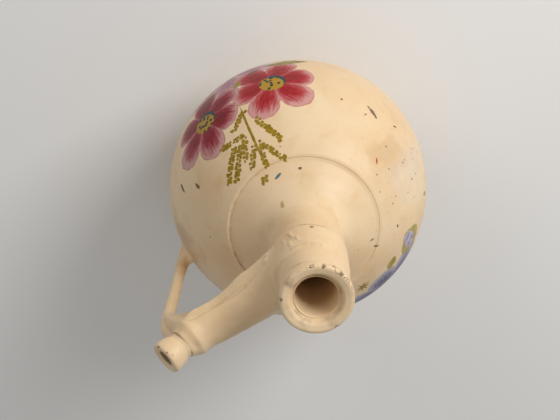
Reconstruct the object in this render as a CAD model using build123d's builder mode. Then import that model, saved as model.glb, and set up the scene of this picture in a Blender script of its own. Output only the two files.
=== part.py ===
"""A round-bellied water jug of painted earthenware, a botijo, put together as a potter does it.

The thrown body, the shoulder, the neck and the lip are luted on top of each other. A hollow spout,
which is also the grip, leaves the neck, and a thin brace ties its end back to the belly. All of it
is joined before firing, so nothing moves. Millimetres, +Z up, origin at the middle of the flat base,
and +X towards the spout.
"""

import os
from math import cos, radians, sin, tan

from build123d import *

# Body: a globe on a flat base, open at the top where the shoulder is set on
belly_radius = 100.0
belly_height = 88.0
foot_radius = 47.0
foot_round = 2.5
body_wall = 8.0
floor_thickness = 9.0
rim_radius = 55.5
rim_rise = 87.2
rim_width = 13.0
rim_ledge = 1.8
rim_round = 1.5

# Shoulder: a low cone on the rim of the body, swept up into the neck
shoulder_pitch = 33.0
shoulder_sweep = 24.0

# Neck: a tapered tube with a straight throat and a spigot that the lip is rolled over
neck_foot_radius = 26.0
neck_foot_bore = 17.0
neck_top_radius = 22.2
neck_length = 79.0
throat_radius = 13.4
throat_length = 42.0
spigot_radius = 15.2
spigot_length = 7.0

# Lip: a rolled ring round the mouth
lip_radius = 23.9
lip_height = 12.0
lip_roll = 4.2
lip_under_round = 1.4
mouth_radius = 16.4
mouth_round = 1.6

# Collar: a band of clay smoothed round the neck over the root of the spout
collar_foot_drop = 3.5
collar_width = 28.0
collar_thickness = 2.2
collar_shift = 1.4
collar_round = 1.0

# Spout: an oval hollow grip, flared at its root, that bends upwards to the tip
spout_start = 13.0
spout_root_rise = 33.0
spout_root_pitch = -3.0
spout_reach = 98.0
spout_climb = 23.5
spout_root_width = 37.0
spout_root_depth = 46.0
spout_flare_share = 0.16
spout_flare_width = 35.0
spout_flare_depth = 36.0
spout_grip_share = 0.45
spout_grip_width = 31.0
spout_grip_depth = 26.0
spout_end_width = 24.5
spout_end_depth = 24.0
spout_end_round = 2.6
spout_root_bore = 8.5
spout_end_bore = 5.5

# Tip: a beaded nozzle behind a groove
groove_radius = 8.7
groove_length = 3.5
bead_radius = 11.6
bead_length = 11.5
bead_face_radius = 9.2
nozzle_radius = 4.6
nozzle_round = 1.4

# Brace: a rolled rod from the belly to the spout, bedded in a wad of clay at each end
brace_radius = 3.9
brace_foot_rise = 13.0
brace_foot_offset = 1.2
brace_bow = 11.5
brace_knee_drop = 54.0
brace_head_setback = 3.0
foot_wad_radius = 7.0
foot_wad_length = 42.0
head_wad_radius = 7.2
head_wad_length = 42.0
head_wad_edge = 0.8

# Heights and radii that follow from the sizes above
rim_height = belly_height + rim_rise
seat_radius = rim_radius - rim_width
shoulder_radius = rim_radius - rim_ledge
shoulder_slope = (cos(radians(shoulder_pitch)), -sin(radians(shoulder_pitch)))
sweep_length = shoulder_sweep * tan(radians((90 - shoulder_pitch) / 2))
sweep_corner_height = rim_height + (shoulder_radius - neck_foot_radius) * tan(radians(shoulder_pitch))
neck_foot_height = sweep_corner_height + sweep_length
neck_top_height = neck_foot_height + neck_length
spigot_height = neck_top_height + spigot_length
mouth_height = neck_top_height + lip_height
spout_root_height = neck_foot_height + spout_root_rise
collar_foot_height = spout_root_height - collar_foot_drop
collar_top_height = collar_foot_height + collar_width
tip_length = groove_length + bead_length

# Profiles of the turned pieces are drawn on the side away from the spout
turning_plane = Plane(origin=(0, 0, 0), x_dir=(-1, 0, 0), z_dir=(0, 1, 0))


def neck_radius_at(height):
    """Outer radius of the tapered neck at a height above the base."""
    share = (height - neck_foot_height) / neck_length
    return neck_foot_radius + (neck_top_radius - neck_foot_radius) * share


def body_outside():
    """Draw the two arcs of the globe, from the belly down to the base and up to the rim."""
    belly = (belly_radius, belly_height)
    TangentArc(belly, (foot_radius, 0), tangent=(0, -1))
    TangentArc(belly, (rim_radius, rim_height), tangent=(0, 1))


def tip_outside():
    """Draw the outside of the tip along its own axis: the groove and the bead."""
    groove_end = (groove_length, groove_radius)
    crown = (groove_length + bead_length / 2, bead_radius)
    Line((0, groove_radius), groove_end)
    ThreePointArc(groove_end, crown, (tip_length, bead_face_radius))


def upright_plane(origin, direction):
    """Plane of the spout and the brace, with its local X along a direction."""
    return Plane(origin=origin, x_dir=direction, z_dir=(0, -1, 0))


# Body
with BuildPart() as body:
    with BuildSketch(turning_plane):
        with BuildLine():
            body_outside()
            inner_belly = (belly_radius - body_wall, belly_height)
            Line((rim_radius, rim_height), (seat_radius, rim_height))
            TangentArc(inner_belly, (seat_radius, rim_height), tangent=(0, 1))
            TangentArc(inner_belly, (foot_radius, floor_thickness), tangent=(0, -1))
            Polyline((foot_radius, floor_thickness), (0, floor_thickness), (0, 0), (foot_radius, 0))
        make_face()
    revolve(axis=Axis.Z)
    rings = body.edges().filter_by(GeomType.CIRCLE).group_by(Axis.Z)
    fillet(rings[-1].sort_by(SortBy.RADIUS)[-1], rim_round)
    fillet(rings[0].sort_by(SortBy.RADIUS)[-1], foot_round)

# The same globe filled in, which shapes the pieces that are pressed against it
with BuildPart() as body_form:
    with BuildSketch(turning_plane):
        with BuildLine():
            body_outside()
            Polyline((rim_radius, rim_height), (0, rim_height), (0, 0), (foot_radius, 0))
        make_face()
    revolve(axis=Axis.Z)

# Shoulder, seated on the flat rim of the body just inside its edge
with BuildPart() as shoulder:
    with BuildSketch(turning_plane):
        with BuildLine():
            cone_top = (
                neck_foot_radius + sweep_length * shoulder_slope[0],
                sweep_corner_height + sweep_length * shoulder_slope[1],
            )
            Line((shoulder_radius, rim_height), cone_top)
            TangentArc((neck_foot_radius, neck_foot_height), cone_top, tangent=(0, -1))
            Line((neck_foot_radius, neck_foot_height), (neck_foot_bore, neck_foot_height))
            TangentArc((neck_foot_bore, neck_foot_height), (seat_radius, rim_height), tangent=(0, -1))
            Line((seat_radius, rim_height), (shoulder_radius, rim_height))
        make_face()
    revolve(axis=Axis.Z)

# Middle line of the spout: one arc in the upright plane, from inside the neck wall to the tip
spout_root = (spout_start, 0, spout_root_height)
spout_end = (spout_reach, 0, spout_root_height + spout_climb)
spout_root_direction = (cos(radians(spout_root_pitch)), 0, sin(radians(spout_root_pitch)))
with BuildLine() as spout_line:
    TangentArc(spout_root, spout_end, tangent=spout_root_direction)


def across_spout(share):
    """Plane square to the spout's middle line, with its local X along the width."""
    return Plane(origin=spout_line.line @ share, x_dir=(0, 1, 0), z_dir=spout_line.line % share)


# Oval sections of the spout: share of its length, width and depth
spout_sections = (
    (0, spout_root_width, spout_root_depth),
    (spout_flare_share, spout_flare_width, spout_flare_depth),
    (spout_grip_share, spout_grip_width, spout_grip_depth),
    (1, spout_end_width, spout_end_depth),
)

# Outer form of the spout, wide at the root and slimmer towards the tip
with BuildPart() as spout_form:
    for share, width, depth in spout_sections:
        with BuildSketch(across_spout(share)):
            Ellipse(width / 2, depth / 2)
    loft()
    end_face = spout_form.faces().filter_by(GeomType.PLANE).sort_by(Axis.X)[-1]
    fillet(end_face.edges(), spout_end_round)

# Neck, pierced where the spout leaves it
with BuildPart() as neck:
    with BuildSketch(turning_plane):
        with BuildLine():
            throat_foot = (throat_radius, spigot_height - throat_length)
            Polyline(
                (neck_foot_bore, neck_foot_height),
                (neck_foot_radius, neck_foot_height),
                (neck_top_radius, neck_top_height),
                (spigot_radius, neck_top_height),
                (spigot_radius, spigot_height),
                (throat_radius, spigot_height),
                throat_foot,
                close=True,
            )
        make_face()
    revolve(axis=Axis.Z)
    with BuildSketch(across_spout(0).offset(-spout_start)):
        Circle(spout_root_bore)
    extrude(amount=spout_start + neck_foot_radius, mode=Mode.SUBTRACT)

# The same neck filled in, which shapes the root of the spout
with BuildPart() as neck_form:
    with BuildSketch(turning_plane):
        Polygon(
            (0, neck_foot_height),
            (neck_foot_radius, neck_foot_height),
            (neck_top_radius, neck_top_height),
            (0, neck_top_height),
            align=None,
        )
    revolve(axis=Axis.Z)

# Lip, rolled over the spigot, with a funnel that leaves the spigot's top as a ledge
with BuildPart() as mouth_lip:
    with BuildSketch(turning_plane):
        Polygon(
            (spigot_radius, neck_top_height),
            (lip_radius, neck_top_height),
            (lip_radius, mouth_height),
            (mouth_radius, mouth_height),
            (spigot_radius, spigot_height),
            align=None,
        )
    revolve(axis=Axis.Z)
    rings = mouth_lip.edges().filter_by(GeomType.CIRCLE).group_by(Axis.Z)
    fillet(rings[-1].sort_by(SortBy.RADIUS)[-1], lip_roll)
    fillet(rings[-1].sort_by(SortBy.RADIUS)[0], mouth_round)
    fillet(rings[0].sort_by(SortBy.RADIUS)[-1], lip_under_round)

# Spout, saddled on the neck and hollow from end to end
with BuildPart() as spout_tube:
    add(spout_form.part)
    add(neck_form.part, mode=Mode.SUBTRACT)
    for share, width, depth in spout_sections:
        with BuildSketch(across_spout(share)):
            Circle(spout_root_bore + (spout_end_bore - spout_root_bore) * share)
    loft(mode=Mode.SUBTRACT)

# Collar, thicker on the side of the spout and cut where the spout's root passes through it
collar_axis = Axis((collar_shift, 0, 0), (0, 0, 1))
with BuildPart() as neck_collar:
    with BuildSketch(Plane(origin=collar_axis.position, x_dir=(-1, 0, 0), z_dir=(0, 1, 0))):
        Polygon(
            (0, collar_foot_height),
            (neck_radius_at(collar_foot_height) + collar_thickness, collar_foot_height),
            (neck_radius_at(collar_top_height) + collar_thickness, collar_top_height),
            (0, collar_top_height),
            align=None,
        )
    revolve(axis=collar_axis)
    fillet(neck_collar.edges().filter_by(GeomType.CIRCLE), collar_round)
    add(neck_form.part, mode=Mode.SUBTRACT)
    add(spout_form.part, mode=Mode.SUBTRACT)

# Tip, turned about the direction in which the spout ends
tip_direction = spout_line.line % 1
tip_axis = Axis(spout_end, tip_direction)
with BuildPart() as tip_form:
    with BuildSketch(upright_plane(spout_end, tip_direction)):
        with BuildLine():
            tip_outside()
            Polyline((tip_length, bead_face_radius), (tip_length, 0), (0, 0), (0, groove_radius))
        make_face()
    revolve(axis=tip_axis)

with BuildPart() as spout_tip:
    add(tip_form.part)
    with BuildSketch(across_spout(1)):
        Circle(nozzle_radius)
    extrude(amount=tip_length, mode=Mode.SUBTRACT)
    nozzle_edges = spout_tip.edges().filter_by(GeomType.CIRCLE).group_by(tip_axis)[-1]
    fillet(nozzle_edges.sort_by(SortBy.RADIUS)[0], nozzle_round)

# Brace: straight up from the belly, then bent in to the underside of the spout's end
brace_foot = (belly_radius + brace_foot_offset, 0, belly_height + brace_foot_rise)
brace_knee = (belly_radius + brace_bow, 0, spout_end[2] - brace_knee_drop)
brace_head = Vector(spout_end) - tip_direction * brace_head_setback
brace_direction = (Vector(brace_knee) - Vector(brace_foot)).normalized()
with BuildLine() as brace_line:
    Line(brace_foot, brace_knee)
    TangentArc(brace_knee, brace_head, tangent=brace_direction)
brace_bend = brace_line.edges().filter_by(GeomType.CIRCLE)[0]

with BuildPart() as brace_form:
    with BuildSketch(Plane(origin=brace_foot, x_dir=(0, 1, 0), z_dir=brace_direction)):
        Circle(brace_radius)
    sweep(path=brace_line.line)

with BuildPart() as brace_strut:
    add(brace_form.part)
    add(body_form.part, mode=Mode.SUBTRACT)
    add(spout_form.part, mode=Mode.SUBTRACT)
    add(tip_form.part, mode=Mode.SUBTRACT)


# Wad at the belly, with a socket that takes the lower end of the brace
with BuildPart() as brace_foot_wad:
    with BuildSketch(upright_plane(brace_foot, brace_direction)):
        with BuildLine():
            EllipticalCenterArc((0, 0), foot_wad_length / 2, foot_wad_radius, start_angle=0, arc_size=180)
            Line((-foot_wad_length / 2, 0), (foot_wad_length / 2, 0))
        make_face()
        Rectangle(foot_wad_length, brace_radius, align=(Align.MIN, Align.MIN), mode=Mode.SUBTRACT)
    revolve(axis=Axis(brace_foot, brace_direction))
    add(body_form.part, mode=Mode.SUBTRACT)

# Wad at the spout, a sleeve that swells along the bend of the brace up to the spout's underside
head_wad_start = 1 - head_wad_length / brace_bend.length
head_wad_sections = (
    (head_wad_start, brace_radius + head_wad_edge),
    ((1 + head_wad_start) / 2, head_wad_radius),
    (1, head_wad_radius),
)
with BuildPart() as brace_head_wad:
    for share, radius in head_wad_sections:
        with BuildSketch(Plane(origin=brace_bend @ share, x_dir=(0, 1, 0), z_dir=brace_bend % share)):
            Circle(radius)
    loft()
    add(brace_form.part, mode=Mode.SUBTRACT)
    add(spout_form.part, mode=Mode.SUBTRACT)
    add(tip_form.part, mode=Mode.SUBTRACT)

# One named file for each piece
pieces = {
    "body": body,
    "shoulder": shoulder,
    "neck": neck,
    "mouth_lip": mouth_lip,
    "neck_collar": neck_collar,
    "spout_tube": spout_tube,
    "spout_tip": spout_tip,
    "brace_strut": brace_strut,
    "brace_foot_wad": brace_foot_wad,
    "brace_head_wad": brace_head_wad,
}
os.makedirs("parts", exist_ok=True)
for name, piece in pieces.items():
    piece.part.label = name
    export_step(piece.part, f"parts/{name}.step")
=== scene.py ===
# %% [markdown]
# # A painted botijo
#
# A botijo is a water jug of porous clay: a round belly, a neck with a mouth to fill it, and a hollow
# spout that the hand also holds. The measured pieces come from the shared frame, and this lesson gives
# each of them the surface that a potter's hands, a brush and years of use leave behind. Every new piece
# is a closed grid of points that numpy works out from a formula, so the shapes stay easy to change.

# %% Load the frame
import math

import bpy
import numpy as np
from mathutils import Matrix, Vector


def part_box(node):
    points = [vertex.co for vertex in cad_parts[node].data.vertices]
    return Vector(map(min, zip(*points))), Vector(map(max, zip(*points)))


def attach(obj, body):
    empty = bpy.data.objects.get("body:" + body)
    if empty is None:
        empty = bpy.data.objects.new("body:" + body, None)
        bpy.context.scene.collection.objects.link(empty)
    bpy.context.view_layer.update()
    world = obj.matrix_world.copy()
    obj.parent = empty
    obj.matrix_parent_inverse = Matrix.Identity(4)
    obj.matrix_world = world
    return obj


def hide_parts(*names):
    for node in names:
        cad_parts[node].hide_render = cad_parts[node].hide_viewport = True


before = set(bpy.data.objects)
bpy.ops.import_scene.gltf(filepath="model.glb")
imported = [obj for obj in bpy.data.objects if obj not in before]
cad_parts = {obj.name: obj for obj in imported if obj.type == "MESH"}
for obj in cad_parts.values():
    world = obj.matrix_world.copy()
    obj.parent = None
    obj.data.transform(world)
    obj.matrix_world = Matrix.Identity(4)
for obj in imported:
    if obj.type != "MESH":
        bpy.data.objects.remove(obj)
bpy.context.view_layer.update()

# %% [markdown]
# ## Sizes
#
# Potters think in millimetres, so all shape formulas here do too, and the points become metres only when
# a mesh is made. The outer sizes are read from the pieces in the frame. The few others are walls, bores
# and bends that a bounding box can't tell.

# %% Sizes read from the frame
millimetre = 0.001


def measured(node):
    """Lowest and highest corner of a piece in the frame, in millimetres."""
    low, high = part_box(node)
    return np.array(low) / millimetre, np.array(high) / millimetre


belly_radius = measured("body")[1][0]
rim_height = measured("body")[1][2]
shoulder_radius = measured("shoulder")[1][0]
neck_foot_radius = measured("neck")[1][0]
neck_foot_height = measured("shoulder")[1][2]
neck_top_height = measured("mouth_lip")[0][2]
lip_radius = measured("mouth_lip")[1][0]
mouth_height = measured("mouth_lip")[1][2]
spigot_height = measured("neck")[1][2]

belly_height = 88.0
foot_radius = 47.0
foot_round = 2.5
body_wall = 8.0
floor_thickness = 9.0
rim_radius = 55.5
seat_radius = 42.5
neck_foot_bore = 17.0
neck_top_radius = 22.2
throat_radius = 13.4
throat_length = 42.0
spigot_radius = 15.2
mouth_radius = 17.3
print(f"belly radius {belly_radius:.1f}, rim at {rim_height:.1f}, mouth at {mouth_height:.1f} mm")

# %% [markdown]
# ## From a grid to a mesh
#
# A turned pot, a tube and a lump of clay have one thing in common: their skin is a sheet with one
# direction that runs round and one that runs along. So one helper turns any grid of points into a mesh.
# A ring-shaped skin loops in both directions. Any other skin ends in a point at both ends, which is
# closed with a fan of triangles. Smooth shading hides the facets, and edges over 40 degrees stay crisp.

# %% Grid helper
crisp_edge = math.radians(40)
pieces = {}


def clay(name, node, grid, loop, grime=0.0, crazed=0.0):
    """Make a closed mesh that replaces a node, from a grid of points (around, along, xyz) in millimetres.

    Around always joins up. With loop, along joins up too; otherwise its first and last rings are poles.
    Grime and crazed are numbers for each point that the paint reads later, for dirt and painted shade, and
    for fine cracks.
    The sum of place times face area is positive for faces that look outwards, so a negative one is turned.
    """
    around, along = grid.shape[:2]
    marks = np.stack([np.broadcast_to(mark, (around, along)) for mark in (grime, crazed)], axis=-1)
    areas = np.cross(np.roll(grid, -1, axis=0) - grid, np.roll(grid, -1, axis=1) - grid)
    if (grid * areas).sum() < 0:
        grid, marks = grid[::-1], marks[::-1]
    if loop:
        index = np.arange(around * along).reshape(around, along)
        index = np.concatenate([index, index[:, :1]], axis=1)
        points = grid.reshape(-1, 3)
        marks = marks.reshape(-1, 2)
    else:
        index = np.arange(around * (along - 2)).reshape(around, along - 2)
        poles = np.stack([grid[:, 0].mean(axis=0), grid[:, -1].mean(axis=0)])
        points = np.concatenate([grid[:, 1:-1].reshape(-1, 3), poles])
        marks = np.concatenate([marks[:, 1:-1].reshape(-1, 2), marks[0, [0, -1]]])
    after = np.roll(index, -1, axis=0)
    quads = np.stack([index[:, :-1], after[:, :-1], after[:, 1:], index[:, 1:]], axis=-1)
    faces = quads.reshape(-1, 4).tolist()
    if not loop:
        pole = np.full(around, len(points) - 2)
        faces += np.stack([pole, after[:, 0], index[:, 0]], axis=1).tolist()
        faces += np.stack([pole + 1, index[:, -1], after[:, -1]], axis=1).tolist()
    mesh = bpy.data.meshes.new(name)
    mesh.from_pydata((points * millimetre).tolist(), [], faces)
    mesh.polygons.foreach_set("use_smooth", np.ones(len(mesh.polygons), bool))
    mesh.set_sharp_from_angle(angle=crisp_edge)
    for column, mark in enumerate(("grime", "crazed")):
        values = np.ascontiguousarray(marks[:, column], np.float32)
        mesh.attributes.new(mark, "FLOAT", "POINT").data.foreach_set("value", values)
    mesh.update()
    piece = bpy.data.objects.new(name, mesh)
    bpy.context.scene.collection.objects.link(piece)
    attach(piece, "root")
    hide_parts(node)
    pieces[name] = piece
    print(f"{name}: {len(mesh.vertices)} points, {len(mesh.polygons)} faces")


print("grids become meshes with edges kept from", round(math.degrees(crisp_edge)), "degrees")

# %% [markdown]
# ## A potter's hand
#
# A thrown wall is never a true circle. The fingers leave slow waves round the pot and faint rings up its
# side. One formula gives this wobble for every angle and height, so that pieces which meet agree. It only
# ever takes clay away, so no piece grows beyond its measured size. Random noise would work too, but a sum
# of sines is smooth, repeats itself exactly on every run and is easy to steer.


# %% Hand formulas
def ease(value, low, high):
    """Smooth step: 0 below low, 1 above high, with a soft start and end between them."""
    share = np.clip((value - low) / (high - low), 0, 1)
    return share * share * (3 - 2 * share)


def bell(value, middle, width):
    """Bell curve of height 1 round a middle."""
    return np.exp(-((value - middle) / width) ** 2)


def facing(angle, degrees, width):
    """Bell curve round an angle that is given in degrees; the width is in radians."""
    return bell(angle, math.radians(degrees), width)


def unit(vectors):
    """The same directions with length 1: each vector over the root of its sum of squares."""
    return vectors / np.linalg.norm(vectors, axis=-1, keepdims=True)


def hand(angle, height):
    """Shift of a thrown wall in millimetres, always inwards: waves round and up the pot, and rings."""
    waves = np.sin(2 * angle + height / 31 + 0.4) + 0.6 * np.sin(3 * angle - height / 19 + 2.0)
    rings = np.sin(2 * np.pi * height / 7.3 + 1.3 * np.sin(angle))
    return -0.40 + 0.16 * waves + 0.04 * rings


def lumps(points, size, seed):
    """Smooth noise from about -1 to 1: seven sine waves of one size that run in different directions."""
    rng = np.random.default_rng(seed)
    directions = unit(rng.normal(size=(7, 3)))
    phases = rng.uniform(0, 2 * np.pi, 7)
    waves = np.sin(points @ directions.T * (2 * np.pi / size) + phases)
    return waves.sum(axis=-1) / 4


def patches(points, size, seed):
    """The raised half of the lumps: soft patches from 0 to about 1 with nothing between them."""
    return np.maximum(lumps(points, size, seed), 0)


print("wobble of the belly, mm:", np.round(hand(np.linspace(0, 6, 7), belly_height), 2))


# %% Outline helpers
def curve(*points, count=8):
    """Points along a Bezier curve with two ends and one corner."""
    start, corner, end = (np.array(p, float) for p in points)
    t = np.linspace(0, 1, count)[:, None]
    return (1 - t) ** 2 * start + 2 * t * (1 - t) * corner + t ** 2 * end


def full_turn(count):
    """A column of angles round one full turn, without the last one, which would repeat the first."""
    return np.linspace(0, 2 * np.pi, count, endpoint=False)[:, None]


def half_turns(angle):
    """The same angles from minus half a turn to half a turn, so that 0 is in the middle."""
    return (angle + np.pi) % (2 * np.pi) - np.pi


def turned(profile, turns=256):
    """Carry the two columns of a profile round an axis; returns the angle and a grid for each column."""
    first, second = (np.repeat(profile[None, :, column], turns, axis=0) for column in (0, 1))
    return full_turn(turns), first, second


def round_z(angle, radius, height):
    """Points in space from an angle, a radius and a height about the Z axis."""
    return np.stack(np.broadcast_arrays(radius * np.cos(angle), radius * np.sin(angle), height), axis=-1)


def spokes(turn, right, up):
    """Directions round a middle line: the cosine of the turn along right plus its sine along up."""
    return np.cos(turn)[..., None] * right + np.sin(turn)[..., None] * up


print("angles of a quarter step:", np.round(full_turn(4)[:, 0], 2))

# %% [markdown]
# ## The globe
#
# The body is thrown as a globe on a flat base and left open at the top. Its side is two arcs that share an
# upright tangent at the belly, so a half outline and a full turn are enough. The Screw modifier could turn
# the outline too, but on a grid the wall can wobble on its way round. The outline goes from the middle of
# the base up the outside, over the rim and down the inside to the floor, which makes a shell with a real
# wall. The rim shows as a step ring round the shoulder. The potter smoothed it on the side away from the
# spout, so there the crease is shallower.


# %% Globe formulas
def arc_radius(rise, inset):
    """Radius of an arc that starts upright and moves in by inset while it rises."""
    return (rise ** 2 + inset ** 2) / (2 * inset)


def globe_arc(top_radius, top_height, widest, share):
    """Points of an arc from the belly to a rim or a foot, at shares of its height."""
    rise = top_height - belly_height
    bend = arc_radius(rise, widest - top_radius)
    height = belly_height + rise * np.sin(share * np.pi / 2)
    return np.stack([widest - bend + np.sqrt(bend ** 2 - (height - belly_height) ** 2), height], axis=1)


def crispness(angle):
    """How crisp the step ring is: full towards the spout, soft on the other side."""
    return 0.5 - 0.5 * np.cos(angle - math.radians(165))


print("the step ring is crisp towards the spout:", np.round(crispness(0.0), 2))

# %% Globe
lower_side = globe_arc(foot_radius, 0, belly_radius, np.linspace(1, 0, 90))
upper_side = globe_arc(rim_radius, rim_height, belly_radius, np.linspace(0, 1, 120))
lower_side = lower_side[lower_side[:, 1] > foot_round]
upper_side = upper_side[upper_side[:, 1] < rim_height - 1.1]
ledge_height = rim_height - 1.0
crease = (shoulder_radius + 0.2, ledge_height)
inner_radius = belly_radius - body_wall
body_outline = np.concatenate([
    np.linspace((0, 0), (foot_radius - foot_round, 0), 14),
    curve((foot_radius - foot_round, 0), (foot_radius + 0.4, 0), lower_side[0])[1:-1],
    lower_side,
    upper_side[1:],
    curve(upper_side[-1], (rim_radius, rim_height + 0.2), crease, count=12)[1:],
    np.array([(seat_radius, ledge_height)]),
    globe_arc(seat_radius, ledge_height, inner_radius, np.linspace(1, 0, 40))[1:],
    globe_arc(foot_radius, floor_thickness, inner_radius, np.linspace(0, 1, 30))[1:],
    np.linspace((foot_radius, floor_thickness), (0, floor_thickness), 8)[1:],
])
angle, radius, height = turned(body_outline)
radius = radius + hand(angle, height) * ease(height, 0, 14) * ease(radius, 0, 20)
near_crease = bell(np.hypot(radius - crease[0], height - crease[1]), 0, 1.1)
height = height + 0.95 * near_crease * (1 - crispness(angle))
# painted shade along the crease of the step ring, full where the ring is crisp
crease_shade = 0.7 * near_crease * crispness(angle)
clay("globe", "body", round_z(angle, radius, height), loop=False, grime=crease_shade)

# %% [markdown]
# ## The shoulder
#
# A second piece, a low cone, is set on the rim and drawn up into the neck. It could be one mesh with the
# globe, but as a piece of its own it leaves the real crease between two lumps of clay. The outline is a
# straight slope, a sweep that ends upright, and the same way back on the inside. Its foot lies in the
# crease, a little below the rim's edge.

# %% Shoulder
slope_foot = (shoulder_radius + 0.4, rim_height - 1.2)
slope_top = (neck_foot_radius + 11.0, neck_foot_height - 20.2)
slope_corner = (neck_foot_radius, neck_foot_height - 13.0)
neck_seat = (neck_foot_radius, neck_foot_height)
bore_edge = (neck_foot_bore, neck_foot_height)
shoulder_outline = np.concatenate([
    np.linspace(slope_foot, slope_top, 40),
    curve(slope_top, slope_corner, neck_seat, count=40)[1:],
    np.linspace(neck_seat, bore_edge, 4)[1:],
    curve(bore_edge, (neck_foot_bore, rim_height + 9), (seat_radius, rim_height - 0.9), count=24)[1:],
])
angle, radius, height = turned(shoulder_outline)
radius = radius + hand(angle, height)
at_ring = bell(radius, shoulder_radius, 1.6)
height = height + 1.05 * at_ring * (1 - crispness(angle))
# painted shade along the foot of the cone, in the crease of the step ring
cone_crease_shade = 0.6 * at_ring * crispness(angle)
clay("shoulder_cone", "shoulder", round_z(angle, radius, height), loop=True, grime=cone_crease_shade)

# %% [markdown]
# ## The neck and the lip
#
# The neck is a plain tapered tube with a straight throat that is worn a little wider at the top. The lip is
# a fat ring rolled over its end: a broad round outside, a flat face that a stopper can rest on, and a worn
# edge that runs over the end of the neck into the throat. A torus would be a ring too, but it has no flat
# face, so both are turned outlines again. The lip gets a little more wobble, and its face dips here and
# there, because the last touch on a pot is a wet finger.


# %% Neck
def neck_radius(height):
    """Outer radius of the tapered neck at a height."""
    share = (height - neck_foot_height) / (neck_top_height - neck_foot_height)
    return neck_foot_radius + (neck_top_radius - neck_foot_radius) * share


throat_foot = spigot_height - throat_length
throat_wear = 1.1
neck_outline = np.concatenate([
    np.linspace((neck_foot_radius, neck_foot_height), (neck_top_radius, neck_top_height), 90),
    np.array([(spigot_radius, neck_top_height + 0.2), (spigot_radius - 0.1, spigot_height - 0.6)]),
    curve((spigot_radius - 0.1, spigot_height - 0.5), (spigot_radius - 0.6, spigot_height),
          (throat_radius + throat_wear + 0.1, spigot_height - 0.2), count=6),
    curve((throat_radius + throat_wear, spigot_height - 0.3), (throat_radius + 0.6, spigot_height - 6.0),
          (throat_radius, spigot_height - 16.0), count=12),
    np.linspace((throat_radius, spigot_height - 18), (throat_radius, throat_foot), 20),
    np.linspace((throat_radius, throat_foot), (neck_foot_bore, neck_foot_height), 24)[1:],
])
angle, radius, height = turned(neck_outline)
radius = radius + hand(angle, height)
# painted shade under the overhang of the lip; the patches added below are real dirt
shade_under_lip = 0.45 * bell(height, neck_top_height, 1.6) * ease(radius, 17, 20)
neck_points = round_z(angle, radius, height)
neck_dirt_and_shade = shade_under_lip + 0.22 * patches(neck_points, 24, 17)
clay("neck_tube", "neck", neck_points, loop=True, grime=neck_dirt_and_shade)

# %% Lip
lip_face = mouth_height - 0.2
lip_foot = neck_top_height + 0.3
lip_round = 2.4
lip_outline = np.concatenate([
    np.linspace((spigot_radius - 0.2, lip_foot), (neck_top_radius - 0.4, lip_foot), 6),
    curve((neck_top_radius - 0.2, neck_top_height + 0.1), (lip_radius - 0.2, neck_top_height + 1.4),
          (lip_radius, neck_top_height + 6.0), count=12),
    curve((lip_radius, lip_face - lip_round), (lip_radius, lip_face),
          (lip_radius - lip_round, lip_face), count=14),
    np.linspace((lip_radius - 2.7, lip_face), (mouth_radius + 1.7, lip_face - 0.4), 10),
    curve((mouth_radius + 1.4, lip_face - 0.5), (mouth_radius + 0.2, lip_face - 0.6),
          (mouth_radius - 0.5, lip_face - 1.8), count=10),
    curve((mouth_radius - 0.6, lip_face - 2.0), (throat_radius + 2.0, spigot_height + 1.0),
          (throat_radius + throat_wear + 0.2, spigot_height - 0.8), count=12),
    np.array([(spigot_radius - 0.2, spigot_height - 1.6)]),
])
angle, radius, height = turned(lip_outline)
turn = half_turns(angle)
out = ease(radius, mouth_radius, lip_radius)
radius = radius + out * (0.7 * hand(angle, 40.0) + 0.10 * np.sin(5 * angle + 1))
above = ease(height, neck_top_height + 3, lip_face)
height = height - above * (0.22 + 0.14 * np.sin(2 * angle + 0.7) + 0.08 * np.sin(5 * angle))
edge = bell(radius, lip_radius - 1.0, 1.3) * above
nicks = sum(facing(turn, where, 0.05) for where in (-160, -128, -30, 95)) * edge
radius = radius - 0.5 * nicks
outer_edge = bell(radius, lip_radius - 0.8, 2.2) * above
lip_points = round_z(angle, radius, height)
inner_edge = bell(radius, mouth_radius - 1.6, 1.1) * (0.25 + 0.6 * patches(lip_points, 15, 21))
lip_grime = nicks + above * (0.2 + 0.35 * patches(lip_points, 13, 15)) + inner_edge
lip_cracks = outer_edge * (0.45 + 0.55 * facing(turn, -150, 0.9))
clay("rolled_lip", "mouth_lip", lip_points, loop=True, grime=lip_grime, crazed=lip_cracks)

# %% [markdown]
# ## The collar
#
# Where the spout is set on, the potter wraps a strip of wet clay round the neck and smears it flat. It is
# thick over the spout's root and thin behind. It could be sculpted with a brush, but a formula keeps it tied
# to the neck: the band is the neck's own radius plus a thickness that dips below the neck's skin at both
# edges. Beside the spout's root the strip was pressed on in a hurry, so it is blistered: finer noise is added
# there, and only there.

# %% Collar formulas
collar_low = 231.0
collar_high = 264.5
collar_thickness = 2.2
collar_lean = 1.2
collar_margin = 2.5


def collar_edge(angle):
    """Height of the collar's lower edge, which wanders a little round the neck."""
    return collar_low + 0.8 * np.sin(2 * angle + 1.0) + 0.5 * np.sin(5 * angle)


def collar_swell(angle, height):
    """Thickness of the collar: a plateau between two wavy edges, thicker towards the spout."""
    low = collar_edge(angle)
    high = collar_high + 0.7 * np.sin(3 * angle + 0.5)
    plateau = ease(height, low, low + 1.2) * (1 - ease(height, high - 4.0, high))
    return plateau * (collar_thickness + collar_lean * np.cos(angle))


def neck_skin(angle, height):
    """Radius of the neck with its collar, before the spout is set on."""
    return neck_radius(height) + hand(angle, height) + collar_swell(angle, height)


print(f"collar from {collar_low} to {collar_high} mm, {collar_thickness + collar_lean:.1f} mm thick in front")

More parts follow.
